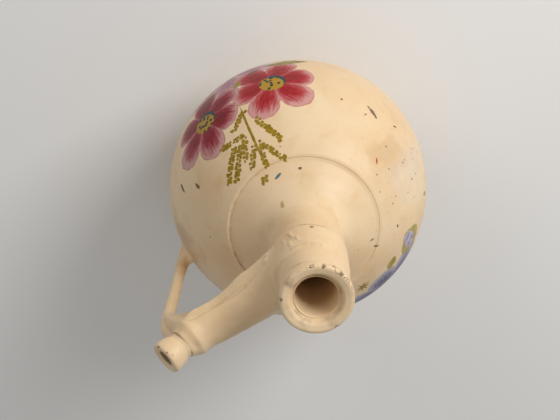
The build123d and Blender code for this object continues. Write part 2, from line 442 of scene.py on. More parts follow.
# %% Collar
strip = np.linspace(collar_low - collar_margin, collar_high + collar_margin, 90)[None, :]
angle = full_turn(360)
turn = half_turns(angle)
swell = collar_swell(angle, strip)
smooth_front = neck_skin(angle, strip) - 0.35 + 0.35 * ease(swell, 0, 0.8)
points = round_z(angle, smooth_front, strip)
blistered = facing(turn, -84, 0.24) * ease(swell, 0.3, 1.5) * bell(strip, 249.0, 11.0)
blobs = np.maximum(lumps(points, 5.5, 3) + 0.6 * lumps(points, 9, 12), 0)
pit = facing(turn, -119, 0.05) * bell(strip, 237.0, 1.2)
front = smooth_front + 0.8 * blistered * blobs + 0.16 * lumps(points, 11, 4) * ease(swell, 0, 1) - 0.9 * pit
back = np.linspace(collar_high + collar_margin, collar_low - collar_margin, 8)[None, 1:-1]
rear = round_z(angle, neck_radius(back) - 1.5, back)
collar_grid = np.concatenate([round_z(angle, front, strip), rear], axis=1)
# dark lines along both edges of the collar: dirt in the seams, and painted shade where the edge overhangs the
# neck
lower_seam_dirt_and_shade = bell(strip, collar_edge(angle) + 1.5, 2.0) * (0.15 + 0.45 * facing(turn, -118, 0.8))
upper_seam_dirt_and_shade = 0.4 * bell(strip, collar_high - 2.5, 2.2) * facing(turn, -105, 0.6)
handled = 0.25 * patches(points, 20, 18) * ease(swell, 0, 1)
front_dirt_and_shade = lower_seam_dirt_and_shade + upper_seam_dirt_and_shade + handled + 0.3 * blistered + 2 * pit
collar_dirt_and_shade = np.concatenate([front_dirt_and_shade, np.zeros(rear.shape[:2])], axis=1)
clay("clay_collar", "neck_collar", collar_grid, loop=True, grime=collar_dirt_and_shade, crazed=0.6 * collar_dirt_and_shade)

# %% [markdown]
# ## The spout's line
#
# The spout is a hollow oval tube whose middle line is one arc in the upright plane through the mouth. The
# wet clay gave way a little to one side, so a small bow across is added. A Bezier curve object could hold
# the line, but with a formula a point on it is found from a share of its length. From there the section is
# drawn in two directions: across, which is the Y axis, and up, towards the arc's centre.

# %% Spout line
spout_root = np.array([13.0, 239.2])
spout_end = np.array([98.0, 262.7])
root_pitch = math.radians(-3)
chord = spout_end - spout_root
end_pitch = 2 * math.atan2(chord[1], chord[0]) - root_pitch
bend_radius = math.hypot(*chord) / (2 * math.sin((end_pitch - root_pitch) / 2))
bend_centre = spout_root + bend_radius * np.array([-math.sin(root_pitch), math.cos(root_pitch)])
spout_length = bend_radius * (end_pitch - root_pitch)
across = np.array([0.0, 1.0, 0.0])
spout_bow = 3.0


def spout_frame(share):
    """Middle point, direction and up vector of the spout at shares of its length: an arc with a bow."""
    share = np.asarray(share, float)
    pitch = root_pitch + (end_pitch - root_pitch) * share
    bow = spout_bow * np.sin(np.pi * share) ** 2
    bow_slope = spout_bow * np.pi * np.sin(2 * np.pi * share) / spout_length
    up = np.stack([-np.sin(pitch), np.zeros_like(pitch), np.cos(pitch)], axis=-1)
    ahead = np.stack([np.cos(pitch), bow_slope, np.sin(pitch)], axis=-1)
    middle = np.array([bend_centre[0], 0, bend_centre[1]]) - bend_radius * up
    return middle + bow[..., None] * across, ahead, up


print(f"spout {spout_length:.1f} mm long, ends at {math.degrees(end_pitch):.1f} degrees")

# %% [markdown]
# ## The spout
#
# The section is an oval that slims down towards the tip. A curve with a bevel would give a pipe of one
# section, and here it changes all the way, so the skin is a grid again. A seam ridge with a shallow groove
# above it runs along one side, where the potter closed the clay. At the root each line of the skin bends
# over onto the neck in a cubic curve that leaves along the neck and arrives along the spout, so the flare
# has no edge. At the other end the clay is rounded off and smeared. The skin then goes back through the
# bore, so the spout is a real pipe.

# %% Spout formulas
spout_shares = (0.0, 0.16, 0.45, 1.0)
width_curve = np.polyfit(spout_shares, (18.5, 17.4, 15.4, 12.8), 3)
depth_curve = np.polyfit(spout_shares, (22.0, 17.8, 13.2, 12.2), 3)
spout_root_bore = 8.5
spout_end_bore = 5.5
groove_radius = 8.7
flare_share = 0.34
flare_reach = 28.0
flare_rise = 24.5
flare_pull = 21.0
upward = np.array([0.0, 0.0, 1.0])


def spout_radius(share, turn):
    """Outer radius of the spout at a share of its length and a turn from +Y upwards.

    An oval of power 2.25 slims down towards a taper at the end. A seam ridge with a groove above it runs
    along one side, which is hollowed a little, and a smear of clay with a dent lies near the end.
    """
    power = 2.25
    width = np.polyval(width_curve, share)
    depth = np.polyval(depth_curve, share)
    oval = (np.abs(np.cos(turn) / width) ** power + np.abs(np.sin(turn) / depth) ** power) ** (-1 / power)
    seam = ease(share, 0.1, 0.3) * (1 - ease(share, 0.78, 0.90))
    fold = 0.15 + 0.12 * bell(share, 0.45, 0.16)
    ridge = 2.4 * facing(turn, 194, fold)
    groove = 2.2 * bell(turn, math.pi - 1.6 * fold, 0.15)
    hollow = 2.2 * bell(share, 0.62, 0.2) * facing(turn, 195, 0.55)
    smear = 1.1 * bell(share, 0.905, 0.04) * (0.5 + 0.5 * np.cos(turn - math.radians(110)))
    dent = 0.9 * bell(share, 0.945, 0.022) * facing(turn, 80, 0.32)
    taper = 2.4 * ease(share, 0.90, 1.0)
    return oval + seam * (ridge - groove) + smear - hollow - dent - taper


def along_spout(share, radius, turn):
    """Points at a share of the spout's length, a radius and a turn about its middle line."""
    middle, ahead, up = spout_frame(share)
    return middle + radius[..., None] * spokes(turn, across, up)


def flared(start, start_pull, end, end_pull, count=48):
    """Cubic curves from one ring of points to another, which leave and arrive along given pulls."""
    t = np.linspace(0, 1, count)[None, :, None]
    leave = (2 * t ** 3 - 3 * t ** 2 + 1) * start + (t ** 3 - 2 * t ** 2 + t) * start_pull
    return leave + (3 * t ** 2 - 2 * t ** 3) * end + (t ** 3 - t ** 2) * end_pull


print("spout's width at both ends, mm:", np.round(2 * np.polyval(width_curve, (0, 1)), 1))

# %% Spout outside
turn = full_turn(192)
foot_angle = flare_reach * np.cos(turn) / neck_radius(spout_root[1])
foot_height = spout_root[1] + flare_rise * np.sin(turn)
foot = round_z(foot_angle, neck_skin(foot_angle, foot_height) - 0.5, foot_height)
round_neck = np.stack([-np.sin(foot_angle), np.cos(foot_angle), np.zeros_like(turn)], axis=-1)
inward = -spokes(turn, round_neck, upward)
ring = along_spout(np.array([[flare_share]]), spout_radius(flare_share, turn), turn)
flare = flared(foot, flare_pull * inward, ring, flare_pull * spout_frame(flare_share)[1])

end_round = 1.6
share = np.linspace(flare_share, 1 - end_round / spout_length, 130)[None, 1:]
tube = along_spout(share, spout_radius(share, turn), turn)
rounding = np.linspace(0, np.pi / 2, 8)[None, 1:]
end_share = 1 - end_round * (1 - np.sin(rounding)) / spout_length
end = along_spout(end_share, spout_radius(1.0, turn) - end_round * (1 - np.cos(rounding)), turn)
bore_share = np.linspace(1, 0.12, 30)[None, :]
bore_radius = spout_root_bore + (spout_end_bore - spout_root_bore) * bore_share
bore = along_spout(bore_share, bore_radius, turn)
print("rings of the flare, the tube, its end and the bore:", [g.shape[1] for g in (flare, tube, end, bore)])

# %% Spout skin
outside = np.concatenate([flare, tube, end], axis=1)
outward = unit(outside - outside.mean(axis=0, keepdims=True))
column = np.arange(outside.shape[1])[None, :]
last = column[0, -1]
blister = facing(turn, 176, 0.22) * bell(column, 22, 6)
rough = ease(column, 4, 30) * (0.22 * lumps(outside, 17, 5) + 0.10 * lumps(outside, 7, 6))
rough = rough + 0.9 * blister * (0.5 + lumps(outside, 5, 11))
outside = outside + outward * rough[..., None]
# painted shade in the groove above the seam ridge, together with the dirt that collects there
groove_dirt_and_shade = facing(turn, 164, 0.13) * ease(column, 30, 70) * (1 - ease(column, 120, 150))
end_dirt = ease(column, last - 8, last)
handled = 0.3 * patches(outside, 16, 16) * ease(column, 120, 160)
outer_dirt_and_shade = end_dirt + handled + 0.4 * groove_dirt_and_shade + 0.15 * blister
# the bore is painted dark all through: painted shade inside the pipe
spout_dirt_and_shade = np.concatenate([outer_dirt_and_shade, np.ones(bore.shape[:2])], axis=1)
clay("hollow_spout", "spout_tube", np.concatenate([outside, bore], axis=1), loop=True, grime=spout_dirt_and_shade)

# %% [markdown]
# ## The tip
#
# The spout ends in a bead with a groove behind it and a narrow nozzle, which gives a thin stream to drink
# from. It is turned about the direction in which the spout ends, so the same helper as for the belly does,
# with a reach along that direction in place of a height. The outline runs up the groove, over the bead, into
# the dished face and back through the nozzle. Chips could be cut with a Boolean, but on so small an edge
# noise is enough.

# %% Tip
groove_length = 3.5
bead_radius = 11.6
bead_length = 11.5
bead_face_radius = 10.2
nozzle_radius = 4.6
tip_length = groove_length + bead_length
tip_outline = np.concatenate([
    np.linspace((-0.8, groove_radius + 1.1), (0.4, groove_radius + 0.9), 4),
    curve((0.6, groove_radius + 0.8), (2.0, groove_radius + 0.5),
          (groove_length, groove_radius + 1.1), count=6),
    curve((groove_length + 0.2, groove_radius + 1.2), (groove_length + 0.9, bead_radius - 0.8),
          (groove_length + 4.0, bead_radius - 0.5), count=14),
    curve((groove_length + 4.6, bead_radius - 0.4), (tip_length - 0.7, bead_radius + 0.8),
          (tip_length - 0.15, bead_face_radius), count=16),
    curve((tip_length - 0.1, bead_face_radius - 0.4), (tip_length + 0.1, bead_face_radius - 1.4),
          (tip_length - 0.5, nozzle_radius + 2.4), count=10),
    curve((tip_length - 0.6, nozzle_radius + 2.2), (tip_length - 1.0, nozzle_radius + 1.4),
          (tip_length - 3.5, nozzle_radius + 0.9), count=10),
    np.linspace((tip_length - 6, nozzle_radius), (-0.8, nozzle_radius), 10),
])
tip_origin, tip_ahead, tip_up = spout_frame(1.0)
turn, reach, radius = turned(tip_outline, 144)
outer = ease(radius, nozzle_radius + 1, bead_radius)
radius = radius + outer * (-0.15 + 0.12 * np.sin(2 * turn + 0.5) + 0.10 * np.sin(3 * turn + 2))
round_tip = spokes(turn, across, tip_up)
tip_points = tip_origin + reach[..., None] * tip_ahead + radius[..., None] * round_tip
face_edge = bell(reach, tip_length - 1.2, 1.6) * outer
chips = face_edge * ease(lumps(tip_points, 3.6, 20), 0.4, 0.6) * (0.3 + facing(turn, 140, 0.8))
tip_points = tip_points - 0.35 * chips[..., None] * round_tip
# painted shade in the groove behind the bead and inside the nozzle; the chips are real knocks
groove_dirt_and_shade = bell(reach, 1.6, 1.4) * outer
nozzle_shade = 1 - ease(radius, nozzle_radius + 0.9, nozzle_radius + 1.8)
tip_dirt_and_shade = 0.5 * groove_dirt_and_shade + 1.6 * nozzle_shade + 1.7 * chips
clay("beaded_tip", "spout_tip", tip_points, loop=True, grime=tip_dirt_and_shade, crazed=0.3 * face_edge)

# %% [markdown]
# ## The brace
#
# A rolled rod of clay ties the spout's end to the belly. Its line goes straight up from the belly and then
# bends in under the spout. A curve with a round bevel would be the quick way, but a rod rolled on a board is
# never even, so here its radius wavers. Its foot tapers off, and both ends are hidden in the clay that holds
# them.

# %% Brace line
brace_radius = 3.9
brace_start = 4.0
brace_foot = np.array([belly_radius + 1.2, belly_height + 13.0])
brace_knee = np.array([belly_radius + 11.5, spout_end[1] - 54.0])
brace_head = spout_end - 3.0 * np.array([math.cos(end_pitch), math.sin(end_pitch)])
brace_rise = brace_knee - brace_foot
brace_straight = np.hypot(*brace_rise)
brace_direction = brace_rise / brace_straight
brace_side = np.array([-brace_direction[1], brace_direction[0]])
to_head = brace_head - brace_knee
brace_bend = (to_head @ to_head) / (2 * to_head @ brace_side)
bend_turn = 2 * math.asin(np.hypot(*to_head) / (2 * brace_bend))
brace_length = brace_straight + brace_bend * bend_turn


def brace_frame(distance):
    """Middle point and direction of the brace at distances from its foot: a straight run, then an arc."""
    straight = np.minimum(distance, brace_straight)[..., None]
    swing = (np.maximum(distance - brace_straight, 0) / brace_bend)[..., None]
    forward, side = brace_bend * np.sin(swing), brace_bend * (1 - np.cos(swing))
    flat = brace_foot + straight * brace_direction + forward * brace_direction + side * brace_side
    ahead = np.cos(swing) * brace_direction + np.sin(swing) * brace_side
    level = np.zeros_like(distance)
    middle = np.stack([flat[..., 0], level, flat[..., 1]], axis=-1)
    return middle, np.stack([ahead[..., 0], level, ahead[..., 1]], axis=-1)


def along_brace(distance, radius, turn):
    """Points on the brace at a distance from its foot, a radius and a turn from +Y."""
    middle, ahead = brace_frame(distance)
    return middle + radius[..., None] * spokes(turn, across, np.cross(across, ahead))


print(f"brace {brace_length:.1f} mm long, of which {brace_straight:.1f} mm are straight")

# %% Brace
turn = full_turn(72)
distance = np.linspace(brace_start, brace_length, 200)[None, :]
skin = along_brace(distance, brace_radius + 0 * turn, turn)
radius = brace_radius + 0.4 + 0.25 * lumps(brace_frame(distance)[0], 44, 7) + 0.12 * lumps(skin, 11, 8)
radius = radius - 0.5 * np.sin(turn) - 2.5 * (1 - ease(distance, 6, 24))
radius = radius * ((distance > brace_start) & (distance < brace_length))
clay("brace_rod", "brace_strut", along_brace(distance, radius, turn), loop=False)

# %% [markdown]
# ## The wads
#
# Each end of the brace sits in a wad of clay. At the belly the wad flares out of the rod and runs out flat
# on the globe, and under the spout another one wraps round the spout's end. A voxel remesh would melt such
# lumps together, but then they would no longer be pieces of their own. So both are made like the spout's
# root, with cubic curves from a ring on the rod to an oval on the clay that it meets.

# %% Wad formulas
wad_turns = 96


def wad(name, node, distance, pull, edge, spread, end_pull, rings, sink, swell, lump, seed):
    """Make a wad: cubic curves that leave a ring on the rod along it, and arrive outwards at an oval edge.

    The ring is at a distance from the brace's foot. Outwards is the way from the edge to one that is spread.
    Lumps swell the skin between both ends, away from a sink in the clay, and each end closes in a point.
    """
    turn = full_turn(wad_turns)
    ring_at = np.array([[distance]])
    middle, ahead = brace_frame(ring_at)
    start = along_brace(ring_at, brace_radius + 0.6 - 0.5 * np.sin(turn), turn)
    outward = unit(edge(turn, spread) - edge(turn, 1.0))
    skin = flared(start, pull * ahead, edge(turn, 1.0), end_pull * outward, rings)
    swelling = swell * np.sin(np.linspace(0, np.pi, rings)) * lumps(skin, lump, seed)
    skin = skin + (skin - sink) * swelling[..., None]
    first, last = (np.broadcast_to(spot, (wad_turns, 1, 3)) for spot in (middle, sink))
    clay(name, node, np.concatenate([first, skin, last], axis=1), loop=False)


def globe_radius(height):
    """Outer radius of the globe at a height, without wobble: the arc above or below the belly."""
    rise = np.where(height > belly_height, rim_height - belly_height, belly_height)
    inset = np.where(height > belly_height, belly_radius - rim_radius, belly_radius - foot_radius)
    bend = arc_radius(rise, inset)
    return belly_radius - bend + np.sqrt(np.maximum(bend ** 2 - (height - belly_height) ** 2, 0))


def mound_edge(turn, size):
    """Wavy oval on the globe round the rod's foot; a turn that faces outwards lies below the foot."""
    waver = size * (1 + 0.10 * np.sin(3 * turn + 0.6) + 0.06 * np.sin(5 * turn + 2))
    angle = 9.0 * waver * np.cos(turn) / belly_radius
    height = brace_foot[1] + 1.0 - 25.0 * waver * np.sin(turn)
    return round_z(angle, globe_radius(height) + hand(angle, height) - 0.5, height)


def cuff_edge(turn, size):
    """Wavy oval round the spout's end; a turn that faces outwards lies towards the tip."""
    waver = size * (1 + 0.03 * np.sin(3 * turn + 1.0))
    share = 0.865 + 0.125 * waver * np.sin(turn)
    spout_turn = math.radians(268) + math.radians(92) * waver * np.cos(turn)
    return along_spout(share, spout_radius(share, spout_turn) - 0.4, spout_turn)


print("wads have", wad_turns, "points round")

# %% Wads
belly_sink = np.array([belly_radius - 6.0, 0.0, brace_foot[1]])
wad("foot_wad", "brace_foot_wad", distance=30.0, pull=-30.0, edge=mound_edge, spread=1.1, end_pull=13.0,
    rings=48, sink=belly_sink, swell=0.012, lump=14, seed=9)
spout_sink = along_spout(np.array(0.88), np.array(9.5), np.array(math.radians(270)))
wad("head_wad", "brace_head_wad", distance=brace_length - 60.0, pull=34.0, edge=cuff_edge, spread=1.05,
    end_pull=6.0, rings=64, sink=spout_sink, swell=0.016, lump=15, seed=10)

# %% [markdown]
# ## Shader maths as plain expressions
#
# A painted pattern is a formula of the place on the pot. Typing it as nodes by hand would be hard to read,
# so a small class wraps a socket and lets Python's own operators add the Math nodes. The sign for "or" joins
# two masks by taking the larger one. Any other node comes from one method. It takes the node's type, its
# settings and what goes into its sockets.


# %% Wires
class Wire:
    """One output socket of a node tree. Arithmetic on wires adds Math nodes to the same tree."""

    def __init__(self, tree, socket=None):
        self.tree = tree
        self.socket = socket

    def node(self, kind, settings=(), inputs=(), output=0):
        """Add a node of a kind: settings first, then values or wires for its sockets."""
        node = self.tree.nodes.new(kind)
        for key, value in dict(settings).items():
            if key == "stops":
                ramp = node.color_ramp.elements
                while len(ramp) < len(value):
                    ramp.new(0.5)
                for element, (place, colour) in zip(ramp, value):
                    element.position = place
                    element.color = (*colour, 1)
            else:
                setattr(node, key, value)
        for key, value in dict(inputs).items():
            if isinstance(value, Wire):
                self.tree.links.new(value.socket, node.inputs[key])
            else:
                node.inputs[key].default_value = value
        return Wire(self.tree, node.outputs[output])

    def math(self, operation, *values):
        """Add a Math node whose inputs are the values in order."""
        return self.node("ShaderNodeMath", {"operation": operation}, dict(enumerate(values)))

    def __add__(self, other):
        return self.math("ADD", self, other)

    __radd__ = __add__

    def __sub__(self, other):
        return self.math("SUBTRACT", self, other)

    def __rsub__(self, other):
        return self.math("SUBTRACT", other, self)

    def __mul__(self, other):
        return self.math("MULTIPLY", self, other)

    __rmul__ = __mul__

    def __truediv__(self, other):
        return self.math("DIVIDE", self, other)

    def __rtruediv__(self, other):
        return self.math("DIVIDE", other, self)

    def __pow__(self, other):
        return self.math("POWER", self, other)

    def __rpow__(self, other):
        return self.math("POWER", other, self)

    def __or__(self, other):
        return self.math("MAXIMUM", self, other)

    __ror__ = __or__

    def length(self):
        """The length of a vector."""
        return self.node("ShaderNodeVectorMath", {"operation": "LENGTH"}, {0: self}, "Value")

    def parts(self):
        """The three numbers of a vector."""
        first = self.node("ShaderNodeSeparateXYZ", {}, {0: self})
        return [Wire(self.tree, socket) for socket in first.socket.node.outputs]

    def step(self, low, high):
        """Smooth step of this value: 0 at low, 1 at high; low may be the larger one."""
        return self.node("ShaderNodeMapRange", {"interpolation_type": "SMOOTHSTEP"},
                         {"Value": self, "From Min": low, "From Max": high})

    def mix(self, low, high):
        """A colour between two colours by this value."""
        low, high = (colour if isinstance(colour, Wire) else (*colour, 1) for colour in (low, high))
        return self.node("ShaderNodeMix", {"data_type": "RGBA"}, {"Factor": self, 6: low, 7: high}, 2)

    def over(self, colour, mask):
        """This colour with another laid over it where the mask is 1."""
        return mask.mix(self, colour)

    def noise(self, size, detail=2.0):
        """Noise of a feature size in millimetres, read at this place."""
        return self.node("ShaderNodeTexNoise", {}, {"Vector": self, "Scale": 1 / size, "Detail": detail})

    def cells(self, size, feature="F1", output="Distance"):
        """Voronoi cells of a size in millimetres, read at this place."""
        inputs = {"Vector": self, "Scale": 1 / size}
        return self.node("ShaderNodeTexVoronoi", {"feature": feature}, inputs, output)

    def luck(self):
        """Three random numbers from 0 to 1 for each whole number that this value takes."""
        colour = self.node("ShaderNodeTexWhiteNoise", {"noise_dimensions": "1D"}, {"W": self}, "Color")
        return colour.parts()


print("wires ready")

# %% [markdown]
# ## Where the brush goes
#
# The painter works on a round belly, so a place is given by two angles: one round the pot from the spout,
# and one up from the belly. A picture on a UV map could hold the painting, but formulas stay sharp at any
# size. A Mapping node moves to the place and turns with the wall, so that each motif is drawn on a flat
# sheet in millimetres: along a heading from east, across it, and out of the wall. The globe bends so little
# under one motif that a flat sheet does, and a look at the distance out of the wall keeps the far side of
# the pot clean.

# %% Painter's sheet
stroke_depth = 20.0
far_side = -40.0


def spot_on_globe(place, at, heading=0.0, scale=(1, 1, 1)):
    """Place seen from a spot on the globe, as a vector of along, aside and out in units of the scale."""
    lon, lat, turn = (math.radians(v) for v in (*at, heading))
    out = np.array([math.cos(lat) * math.cos(lon), math.cos(lat) * math.sin(lon), math.sin(lat)])
    east = np.array([-math.sin(lon), math.cos(lon), 0])
    north = np.cross(out, east)
    along = east * math.cos(turn) + north * math.sin(turn)
    axes = Matrix(np.stack([along, np.cross(out, along), out], axis=1).tolist())
    middle = np.array([0, 0, belly_height]) + belly_radius * out
    return place.node("ShaderNodeMapping", {"vector_type": "TEXTURE"},
                      {"Vector": place, "Location": middle, "Rotation": axes.to_euler(), "Scale": scale})


def dab(place, at, heading, length, width, ragged, soft=0.1):
    """Mask of one touch of the brush: an oval on the wall whose edge is moved by a ragged value."""
    size = spot_on_globe(place, at, heading, (length / 2, width / 2, stroke_depth)).length()
    return (size + ragged).step(0.95 + soft, 0.95 - soft)


def leaf(paint, place, at, heading, length, width, colour, ragged):
    """Paint a pointed leaf: a lens between two parabolas, with a darker rib along its middle."""
    along, aside, out = spot_on_globe(place, at, heading, (length / 2, width / 2, stroke_depth)).parts()
    aside = place.math("ABSOLUTE", aside)
    lens = along * along + aside + 0.2 * out * out + 0.6 * ragged
    body = lens.step(1.05, 0.9)
    rib = aside.step(0.22, 0.08) * lens.step(0.8, 0.6)
    paint = paint.over(colour, body * (0.85 + 0.6 * ragged))
    return paint.over([0.45 * part for part in colour], rib * 0.6)


print("a stroke counts up to", stroke_depth, "mm out of the wall")

# %% [markdown]
# ## Flowers and sprays
#
# The ornament is the common folk kind: open flowers with a dotted yellow eye, sprays of yellow dabs, and
# loose leaf strokes. Each motif is a formula, so no picture is needed. A petal is an oval that widens
# outwards; counting sectors round the eye repeats it, and a random number for each sector varies it. Bristle
# streaks come from noise that is stretched along the petal. A spray is a fan of twigs, each with two rows of
# dabs that take turns on both sides of a line.

# %% Motifs
eye_yellow = (0.45, 0.25, 0.012)
eye_dark = (0.010, 0.030, 0.030)
eye_shade = (0.012, 0.055, 0.065)
petals = 6
twig_step = 3.1


def flower(paint, place, at, reach, start, ramp, seed, eye, ragged):
    """Paint an open flower: petals round an eye, each with its own size, and streaks that run outwards."""
    east, north, out = spot_on_globe(place, at).parts()
    distance = (east * east + north * north) ** 0.5
    turns = place.math("ARCTAN2", north, east) * (petals / (2 * math.pi)) + start
    which = place.math("FLOORED_MODULO", place.math("FLOOR", turns), petals)
    lean = (place.math("FRACT", turns) - 0.5) * (2 * math.pi / petals)
    along = distance * place.math("COSINE", lean)
    aside = distance * place.math("SINE", lean)
    chance, other, third = (which + seed).luck()
    share = along / (reach * (0.88 + 0.22 * chance))
    half_width = reach * (0.15 + 0.27 * share + 0.05 * other)
    oval = ((share - 0.57) / 0.45) ** 2 + (aside / half_width) ** 2 + 0.35 * ragged
    streak = place.node("ShaderNodeCombineXYZ", {}, {0: aside * 0.7, 1: along * 0.10, 2: which * 9 + seed})
    streak = streak.noise(1.0, 3.0) - 0.5
    depth = 0.55 * oval + 0.58 * share + 0.75 * streak + 0.26 * third - 0.13
    colour = place.node("ShaderNodeValToRGB", {"stops": ramp}, {"Fac": depth})
    colour = colour.over(ramp[-1][1], oval.step(0.78, 0.98) * (0.75 + streak))
    outline = oval.step(0.88, 0.97) * streak.step(-0.15, 0.05)
    colour = colour.over(ramp[1][1], outline * 0.45)
    near = place.math("GREATER_THAN", out, far_side)
    paint = paint.over(colour, oval.step(1.06, 0.98) * near)
    inner = distance + 2.0 * ragged
    dots = place.cells(3.3).step(0.46, 0.36)
    middle = dots.mix(eye_yellow, eye_dark)
    shade = ((east - 0.25 * eye) ** 2 + (north - 0.30 * eye) ** 2) ** 0.5
    middle = middle.over(eye_shade, shade.step(eye + 0.2, eye + 1.2))
    return paint.over(middle, inner.step(eye + 0.4, eye - 0.4) * near)


def twig(place, at, heading, length, seed, ragged):
    """Mask of two staggered rows of dabs on both sides of a line, each dab with its own place and size."""
    along, aside, out = spot_on_globe(place, at, heading).parts()
    side = place.math("SIGN", aside)
    slot = along / twig_step + 0.25 * side
    number = place.math("ROUND", slot)
    chance, other, third = (number + 40.5 * side + seed).luck()
    slip = (slot - number) * twig_step + 1.3 * chance - 0.65
    off = aside - side * (0.4 + 1.0 * other)
    size = (0.75 * slip * slip + off * off) ** 0.5 - 0.8 * third + 2.4 * ragged
    half = length / twig_step / 2
    within = place.math("COMPARE", number, half, half + 0.5) * place.math("GREATER_THAN", out, far_side)
    return size.step(1.2, 0.95) * within


print("motifs ready, with", petals, "petals on a flower")

# %% [markdown]
# ## The cream coat
#
# Under the flowers the whole jug wears one coat of cream paint. Old paint is never one colour: it yellows in
# clouds, picks up grey dirt in creases and pores, and is knocked off in specks that show the dark clay.
# The same dark colour also paints shade into creases, grooves and bores, and under the lip and the collar.
# Where it sits thick on an edge it also cracks. Photographed textures would show all that, but noise and
# cells need no file, and the marks stored with each mesh tell where dirt, painted shade and cracks belong.
# The gloss follows, duller where it is dirty or painted dark. A faint grain in the bump keeps the highlights
# from looking like plastic.

# %% Cream coat
cream = (0.80, 0.565, 0.325)
cream_pale = (0.85, 0.645, 0.405)
cream_warm = (0.72, 0.455, 0.215)
dirt_and_shade = (0.17, 0.105, 0.06)
dusty = (0.42, 0.28, 0.16)
bare_clay = (0.09, 0.05, 0.035)


def start_material(name):
    """A new material with a Principled shader; returns it, the shader and the place in millimetres."""
    material = bpy.data.materials.new(name)
    material.use_nodes = True
    where = Wire(material.node_tree).node("ShaderNodeTexCoord", output="Object")
    place = where.node("ShaderNodeVectorMath", {"operation": "SCALE"}, {0: where, "Scale": 1 / millimetre})
    return material, material.node_tree.nodes["Principled BSDF"], place


def stored(place, mark):
    """A number that is stored with each point of the mesh."""
    return place.node("ShaderNodeAttribute", {"attribute_name": mark}, output="Fac")


def cream_coat(place):
    """Cream paint with clouds, dirt and painted shade, specks and cracks; returns the colour and where it is
    spoilt.
    """
    paint = place.noise(46.0, 3.0).step(0.35, 0.7).mix(cream_pale, cream)
    paint = paint.over(cream_warm, place.noise(17.0, 4.0).step(0.52, 0.8) * 0.45)
    fine = place.noise(3.2, 4.0)
    patchy = 0.2 + 1.2 * fine
    # the stored mark darkens the paint: real dirt, and painted shade in creases, grooves, bores and under the
    # lip
    soot_and_shade = (stored(place, "grime") * patchy).step(0.12, 0.9)
    paint = paint.over(dirt_and_shade, soot_and_shade * 0.8)
    dust = fine.step(0.58, 0.78) * place.noise(55.0).step(0.45, 0.7)
    paint = paint.over(dusty, dust * 0.4)
    chosen = place.cells(11.0, output="Color").parts()[0].step(0.56, 0.60)
    specks = (place.cells(11.0) + 0.06 * fine).step(0.085, 0.065) * chosen
    shift = place.node("ShaderNodeTexNoise", {}, {"Vector": place, "Scale": 1 / 2.5}, "Color")
    shaken = place.node("ShaderNodeVectorMath", {"operation": "MULTIPLY_ADD"},
                        {0: shift, 1: (5, 5, 5), 2: place})
    cracks = shaken.cells(5.2, "DISTANCE_TO_EDGE").step(0.07, 0.025)
    spoilt = specks | cracks * (stored(place, "crazed") * patchy).step(0.35, 0.6)
    paint = paint.over(bare_clay, spoilt * 0.8)
    return paint, spoilt | soot_and_shade


def finish_paint(shader, place, paint, spoilt):
    """Join colour, gloss and grain to the shader."""
    links = place.tree.links
    rough = 0.36 + 0.10 * place.noise(12.0, 3.0) + 0.30 * spoilt
    grain = 0.4 * place.noise(1.6, 3.0) + 1.8 * place.noise(9.0, 2.0) - 1.2 * spoilt
    bump = place.node("ShaderNodeBump", {}, {"Strength": 0.35, "Distance": 0.0003, "Height": grain})
    links.new(paint.socket, shader.inputs["Base Color"])
    links.new(rough.socket, shader.inputs["Roughness"])
    links.new(bump.socket, shader.inputs["Normal"])
    shader.inputs["Specular IOR Level"].default_value = 0.30


print("a coat reads the grime and the cracks stored with each piece")

# %% Plain coat
plain_coat, shader, place = start_material("cream_paint")
finish_paint(shader, place, *cream_coat(place))
print("cream coat:", len(plain_coat.node_tree.nodes), "nodes")

# %% [markdown]
# ## The painted globe
#
# The globe and the shoulder share one material, because the yellow spray runs over the step ring. The motifs
# could be decals on sheets of their own, but as layers in one material they can all be cut by a knock. The
# order is the painter's: stains in the cream first, then the flower at the back of the bunch, those in front,
# leaves, sprays and stray dabs. Last come the knocks of a long life, which cut through everything.

# %% Stains in the cream
ochre = (0.60, 0.34, 0.11)
mustard = (0.40, 0.25, 0.02)
pale_scuff = (0.70, 0.58, 0.46)
tan = (0.50, 0.25, 0.10)

painted, shader, place = start_material("painted_globe")
paint, spoilt = cream_coat(place)
ragged = place.noise(6.0, 3.0) - 0.5
cloudy = place.noise(14.0, 4.0) - 0.5
paint = paint.over(ochre, dab(place, (-173, 37), 60, 40, 24, 3.2 * cloudy, 0.6) * 0.45)
paint = paint.over(mustard, dab(place, (-84, 74), 60, 5, 3, 2.0 * ragged, 0.3) * 0.7)
paint = paint.over(pale_scuff, dab(place, (174, 30), 80, 60, 36, 3.0 * cloudy, 0.7) * 0.5)
paint = paint.over(tan, dab(place, (-14, 20), 70, 46, 26, 3.0 * cloudy, 0.7) * 0.4)
print("stained cream:", len(painted.node_tree.nodes), "nodes")

# %% Flowers
crimson = ((0.30, (0.28, 0.002, 0.004)), (0.52, (0.39, 0.008, 0.014)), (0.70, (0.46, 0.075, 0.075)),
           (0.88, (0.57, 0.22, 0.20)), (1.0, (0.63, 0.31, 0.28)))
mauve = ((0.30, (0.19, 0.002, 0.008)), (0.52, (0.28, 0.008, 0.020)), (0.70, (0.38, 0.080, 0.095)),
         (0.88, (0.51, 0.22, 0.21)), (1.0, (0.59, 0.32, 0.28)))
lilac = ((0.30, (0.42, 0.18, 0.24)), (0.6, (0.56, 0.34, 0.36)), (1.0, (0.68, 0.50, 0.45)))
violet = ((0.30, (0.075, 0.07, 0.16)), (0.55, (0.17, 0.155, 0.26)), (0.75, (0.30, 0.27, 0.36)),
          (1.0, (0.50, 0.43, 0.44)))

